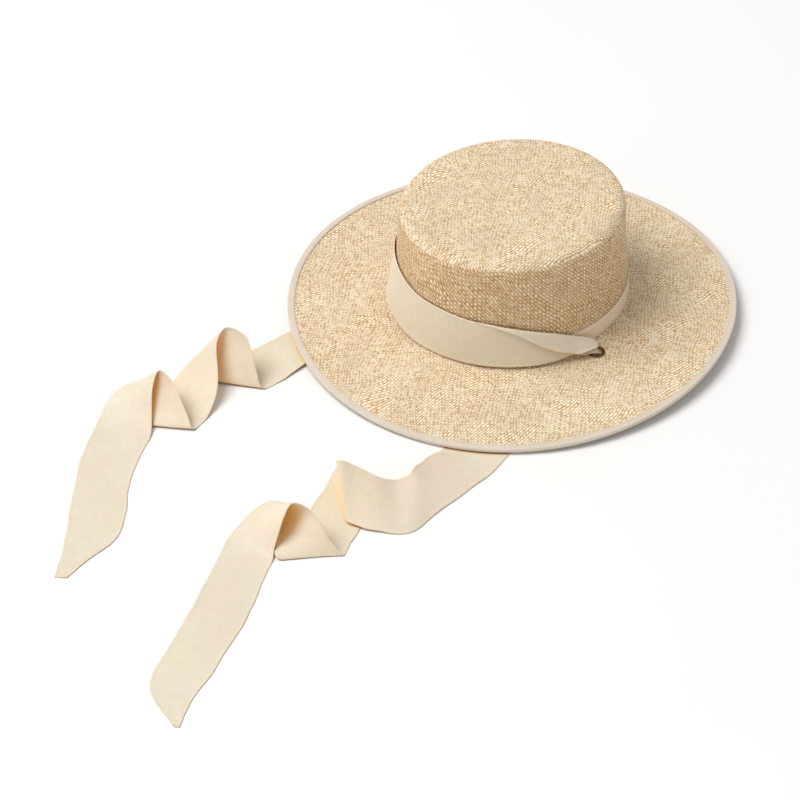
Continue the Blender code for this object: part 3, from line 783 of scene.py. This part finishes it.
def weave(net, along, across, seed):
    """Height and tone of plain weaving, where one strand is one unit wide; the tone holds painted highlight
    and shade along with the strands' own colour.
    """
    def wave(value):
        return net.math("SINE", net.math("MULTIPLY", value, math.pi))

    def round_top(value):
        return net.math("POWER", net.math("ABSOLUTE", value), 0.65)

    along_wave, across_wave = wave(along), wave(across)
    along_sign = net.math("SIGN", along_wave)
    across_sign = net.math("SIGN", across_wave)
    climb = net.math("MULTIPLY", across_wave, along_sign)
    fall = net.math("MULTIPLY", along_wave, across_sign)
    warp = net.math(
        "MULTIPLY", round_top(along_wave), net.math("MULTIPLY_ADD", climb, 0.34, 0.70))
    weft = net.math(
        "MULTIPLY", round_top(across_wave), net.math("MULTIPLY_ADD", fall, -0.36, 0.46))
    over = net.math("GREATER_THAN", warp, weft)
    height = net.math("MAXIMUM", warp, weft)

    def pair(value, shift):
        return net.math("FLOOR", net.math("DIVIDE", net.math("ADD", value, shift), 2.0))

    warp_row = pair(across, net.math("MULTIPLY", along_sign, 0.5))
    weft_row = pair(along, net.math("MULTIPLY", across_sign, -0.5))
    cell = net.node("ShaderNodeCombineXYZ")
    net.link(net.mix(over, weft_row, net.math("FLOOR", along)), cell.inputs[0])
    net.link(net.mix(over, net.math("FLOOR", across), warp_row), cell.inputs[1])
    net.link(net.math("ADD", over, seed), cell.inputs[2])
    chance = net.node("ShaderNodeTexWhiteNoise", noise_dimensions="3D")
    net.link(cell.outputs[0], chance.inputs["Vector"])
    strand = net.node("ShaderNodeTexWhiteNoise", noise_dimensions="1D")
    lane = net.mix(
        over, net.math("ADD", net.math("FLOOR", across), 1000.0), net.math("FLOOR", along))
    net.link(net.math("ADD", lane, seed), strand.inputs["W"])
    # Painted highlight and shade: the tone rises with the height, lighter on the raised crossings and darker
    # in the gaps, and the strands lying on top are painted lighter than those beneath, as if they caught the
    # light.
    tone = net.math("MULTIPLY_ADD", height, 1.05, -0.34)
    tone = net.math("MULTIPLY_ADD", over, 0.24, tone)
    # Random tone per crossing and per strand, and the odd dark strand, are the straw's own colour.
    tone = net.math("MULTIPLY_ADD", chance.outputs[0], 0.44, tone)
    tone = net.math("MULTIPLY_ADD", strand.outputs[0], 0.12, tone)
    dark = net.math("GREATER_THAN", strand.outputs[0], 0.985)
    return height, net.math("MULTIPLY_ADD", dark, -0.30, tone)


def straw_finish():
    net = Net("woven_straw", linear(222, 196, 155), 0.62)
    net.shader.inputs["Specular IOR Level"].default_value = 0.35
    vector, place, normal = net.place()
    drift = net.noise(vector, 22.0, 1.0)
    tremble = net.noise(vector, 140.0, 2.0)
    apart = net.node("ShaderNodeSeparateXYZ")
    net.link(drift.outputs["Color"], apart.inputs[0])
    shiver = net.node("ShaderNodeSeparateXYZ")
    net.link(tremble.outputs["Color"], shiver.inputs[0])

    def moved(value, index):
        far = net.math("MULTIPLY", net.math("SUBTRACT", apart.outputs[index], 0.5), 21.0 * MM)
        near = net.math("MULTIPLY", net.math("SUBTRACT", shiver.outputs[index], 0.5), 1.7 * MM)
        return net.math("ADD", net.math("ADD", value, far), near)

    flat_along = net.math("DIVIDE", moved(place[0], 0), FLAT_STRAND)
    flat_across = net.math("DIVIDE", moved(place[1], 1), FLAT_STRAND)
    flat_height, flat_tone = weave(net, flat_along, flat_across, 3.0)

    turn = net.math("ARCTAN2", place[1], place[0])
    round_way = net.math("MULTIPLY", turn, WALL_STRANDS / (2 * math.pi))
    strand = 2 * math.pi * WALL_RADIUS / (WALL_STRANDS * math.sqrt(2))
    up_way = net.math("DIVIDE", moved(place[2], 2), strand * 1.12 * math.sqrt(2))
    wobble = net.math("MULTIPLY", net.math("SUBTRACT", shiver.outputs[0], 0.5), 1.2)
    wall_along = net.math("ADD", net.math("ADD", round_way, up_way), wobble)
    wall_across = net.math("SUBTRACT", round_way, up_way)
    wall_height, wall_tone = weave(net, wall_along, wall_across, 11.0)

    facing = net.node("ShaderNodeSeparateXYZ")
    net.link(normal, facing.inputs[0])
    lying = net.node("ShaderNodeMapRange", interpolation_type="SMOOTHSTEP")
    net.link(net.math("ABSOLUTE", facing.outputs[2]), lying.inputs[0])
    lying.inputs[1].default_value = 0.40
    lying.inputs[2].default_value = 0.62
    height = net.mix(lying.outputs[0], wall_height, flat_height)
    # Darker, flatter tone on the standing wall: partly the browner look of the weave stretched round the
    # crown, partly painted shade on the wall.
    wall_tone = net.math("MULTIPLY_ADD", wall_tone, 0.62, 0.08)
    tone = net.mix(lying.outputs[0], wall_tone, flat_tone)
    patch = net.noise(vector, 9.0, 3.0)
    tone = net.math("ADD", tone, net.math("MULTIPLY", patch.outputs["Fac"], 0.16))
    net.shade(net.ramp(net.math("MULTIPLY", tone, 0.72), (
        (0.00, linear(104, 60, 26)),
        (0.22, linear(174, 126, 76)),
        (0.46, linear(222, 192, 148)),
        (0.70, linear(243, 227, 196)),
        (1.00, linear(253, 246, 230)),
    )))
    net.bump(height, 0.6 * MM, 1.0)
    return net.finish


def tape_finish(name, rib, light, dark):
    """Grosgrain, whose ribs run across the tape and so outward from the hat's axis."""
    net = Net(name, light, 0.85)
    net.shader.inputs["Sheen Weight"].default_value = 0.25
    net.shader.inputs["Specular IOR Level"].default_value = 0.25
    vector, place, _ = net.place()
    turn = net.math("ARCTAN2", place[1], place[0])
    far = net.math("SQRT", net.math("ADD", net.math("POWER", place[0], 2.0), net.math("POWER", place[1], 2.0)))
    wander = net.noise(vector, 300.0, 1.0)
    shift = net.math("MULTIPLY", net.math("SUBTRACT", wander.outputs["Fac"], 0.5), 1.4)
    ribs = net.math("ADD", net.math("MULTIPLY", turn, rib), shift)
    wave = net.math("ADD", net.math("MULTIPLY", net.math("SINE", ribs), 0.5), 0.5)
    thread = net.math("SINE", net.math("MULTIPLY", far, 2 * math.pi / (0.45 * MM)))
    height = net.math("ADD", wave, net.math("MULTIPLY", thread, 0.12))
    fine = net.noise(vector, 900.0, 2.0)
    patch = net.noise(vector, 28.0, 3.0)
    # Painted highlight and shade: the tone follows the rib wave, lighter on the rib crests and darker between
    # them; the fine and patchy noise is the tape's own tone.
    tone = net.math("ADD", net.math("MULTIPLY", wave, 0.5), net.math("MULTIPLY", fine.outputs["Fac"], 0.4))
    tone = net.math("ADD", tone, net.math("MULTIPLY", patch.outputs["Fac"], 0.35))
    net.shade(net.ramp(tone, ((0.2, dark), (1.0, light))))
    net.bump(height, 0.22 * MM, 0.8)
    return net.finish


def satin_finish():
    net = Net("cream_satin", linear(236, 220, 196), 0.52)
    net.shader.inputs["Subsurface Weight"].default_value = 0.55
    net.shader.inputs["Subsurface Radius"].default_value = (1.0, 0.6, 0.32)
    net.shader.inputs["Subsurface Scale"].default_value = 1.2 * MM
    net.shader.inputs["Sheen Weight"].default_value = 0.15
    net.shader.inputs["Specular IOR Level"].default_value = 0.35
    vector, place, _ = net.place()
    grain = net.noise(vector, 1500.0, 2.0)
    slub = net.noise(vector, 240.0, 2.0)
    patch = net.noise(vector, 20.0, 2.0)
    tone = net.math("ADD", net.math("MULTIPLY", grain.outputs["Fac"], 0.45), net.math("MULTIPLY", slub.outputs["Fac"], 0.30))
    tone = net.math("ADD", tone, net.math("MULTIPLY", patch.outputs["Fac"], 0.35))
    cloth = net.ramp(tone, ((0.25, linear(220, 203, 178)), (0.85, linear(238, 228, 210))))
    # Painted glow: a warm light colour mixed in where the satin lies deep in its curls, standing in for light
    # shining through the cloth and bouncing inside the loops.
    painted_glow_occlusion = net.node("ShaderNodeAmbientOcclusion", samples=8)
    painted_glow_occlusion.inputs["Distance"].default_value = 34 * MM
    painted_glow_share = net.node("ShaderNodeMapRange", interpolation_type="SMOOTHSTEP")
    net.link(painted_glow_occlusion.outputs["AO"], painted_glow_share.inputs[0])
    painted_glow_share.inputs[1].default_value = 0.70
    painted_glow_share.inputs[2].default_value = 0.25
    painted_glow_mix = net.node("ShaderNodeMix", data_type="RGBA")
    net.link(painted_glow_share.outputs[0], painted_glow_mix.inputs[0])
    net.link(cloth, painted_glow_mix.inputs[6])
    net.link((*linear(254, 214, 146), 1.0), painted_glow_mix.inputs[7])
    # Painted shade: a brown mixed in where another surface lies within a few millimetres, standing in for the
    # thin contact shadows along the ribbon's edges and under its flap.
    contact_occlusion = net.node("ShaderNodeAmbientOcclusion", samples=8)
    contact_occlusion.inputs["Distance"].default_value = 3.5 * MM
    painted_contact_shade_share = net.node("ShaderNodeMapRange", interpolation_type="SMOOTHSTEP")
    net.link(contact_occlusion.outputs["AO"], painted_contact_shade_share.inputs[0])
    painted_contact_shade_share.inputs[1].default_value = 0.88
    painted_contact_shade_share.inputs[2].default_value = 0.30
    painted_contact_shade = net.node("ShaderNodeMix", data_type="RGBA")
    net.link(painted_contact_shade_share.outputs[0], painted_contact_shade.inputs[0])
    net.link(painted_glow_mix.outputs[2], painted_contact_shade.inputs[6])
    net.link((*linear(150, 98, 46), 1.0), painted_contact_shade.inputs[7])
    net.shade(painted_contact_shade.outputs[2])
    net.bump(net.math("ADD", grain.outputs["Fac"], slub.outputs["Fac"]), 0.06 * MM, 0.6)
    return net.finish


def bronze_finish():
    net = Net("aged_bronze", linear(110, 92, 58), 0.38, 0.9)
    vector, place, _ = net.place()
    stain = net.noise(vector, 420.0, 3.0)
    net.shade(net.ramp(stain.outputs["Fac"], ((0.3, linear(66, 54, 34)), (0.7, linear(142, 122, 82)))))
    rough = net.noise(vector, 800.0, 2.0)
    net.link(net.mix(rough.outputs["Fac"], 0.28, 0.55), net.shader.inputs["Roughness"])
    net.bump(rough.outputs["Fac"], 0.05 * MM, 0.5)
    return net.finish


def thread_finish():
    net = Net("sewing_thread", linear(214, 204, 192), 0.8)
    vector, place, _ = net.place()
    ply = net.noise(vector, 1100.0, 1.0)
    net.shade(net.ramp(ply.outputs["Fac"], ((0.3, linear(186, 174, 160)), (0.7, linear(228, 220, 210)))))
    net.bump(ply.outputs["Fac"], 0.08 * MM, 0.7)
    return net.finish


# Floor, light and camera

def floor_finish():
    net = Net("pale_floor", (0.92, 0.92, 0.92), 0.9)
    net.shader.inputs["Specular IOR Level"].default_value = 0.1
    found = net.node("ShaderNodeTexCoord")
    speck = net.noise(found.outputs["Object"], 3.0, 2.0)
    net.shade(net.ramp(speck.outputs["Fac"], ((0.0, (0.90, 0.90, 0.90)), (1.0, (0.94, 0.94, 0.94)))))
    return net.finish


def make_floor():
    size = 6.0
    corners = [(-size, -size, 0), (size, -size, 0), (size, size, 0), (-size, size, 0)]
    mesh = bpy.data.meshes.new("floor")
    mesh.from_pydata(corners, [], [(0, 1, 2, 3)])
    mesh.materials.append(floor_finish())
    floor = bpy.data.objects.new("floor", mesh)
    bpy.context.scene.collection.objects.link(floor)


def view_axes():
    turn, rise = math.radians(VIEW_TURN), math.radians(VIEW_RISE)
    right = Vector((math.cos(turn), math.sin(turn), 0))
    back = Vector((
        math.sin(turn) * math.cos(rise), -math.cos(turn) * math.cos(rise), math.sin(rise)))
    return right, back


def make_camera():
    right, back = view_axes()
    data = bpy.data.cameras.new("camera")
    data.sensor_width = 36.0
    data.lens = CAMERA_LENS
    data.shift_x, data.shift_y = CAMERA_SHIFT
    data.clip_end = 50.0
    camera = bpy.data.objects.new("camera", data)
    camera.location = Vector(HAT) + back * CAMERA_REACH
    camera.rotation_euler = (-back).to_track_quat("-Z", "Y").to_euler()
    bpy.context.scene.collection.objects.link(camera)
    bpy.context.scene.camera = camera


def add_light(name, direction, distance, size, power, colour=(1.0, 1.0, 1.0)):
    data = bpy.data.lights.new(name, "AREA")
    data.shape = "DISK"
    data.size = size
    data.energy = power
    data.color = colour
    light = bpy.data.objects.new(name, data)
    aim = Vector((0.0, 0.0, 0.03))
    light.location = aim + direction.normalized() * distance
    light.rotation_euler = (-direction).to_track_quat("-Z", "Y").to_euler()
    bpy.context.scene.collection.objects.link(light)


def make_lights():
    right, back = view_axes()
    away = Vector((-back.x, -back.y, 0)).normalized()
    up = Vector((0, 0, 1))
    add_light("key", -right * 0.75 - away * 0.10 + up * 1.45, 5.0, 3.4, 196.0, (1.0, 0.985, 0.96))
    world = bpy.data.worlds.new("studio")
    world.use_nodes = True
    sky = world.node_tree.nodes["Background"]
    sky.inputs["Color"].default_value = (1.0, 0.995, 0.985, 1.0)
    sky.inputs["Strength"].default_value = 0.50
    bpy.context.scene.world = world
    bpy.context.scene.view_settings.view_transform = "Standard"


def main():
    make_camera()
    make_ribbon(satin_finish())
    make_straw(straw_finish())
    make_binding(tape_finish(
        "edge_grosgrain", 1200.0, linear(240, 228, 212), linear(210, 194, 176)))
    make_band(tape_finish(
        "crown_grosgrain", 520.0, linear(255, 236, 214), linear(244, 212, 186)))
    make_stitches(thread_finish())
    bronze = bronze_finish()
    for side, placing in eyelet_frames().items():
        make_eyelet(side, placing, bronze)
    make_floor()
    make_lights()


main()
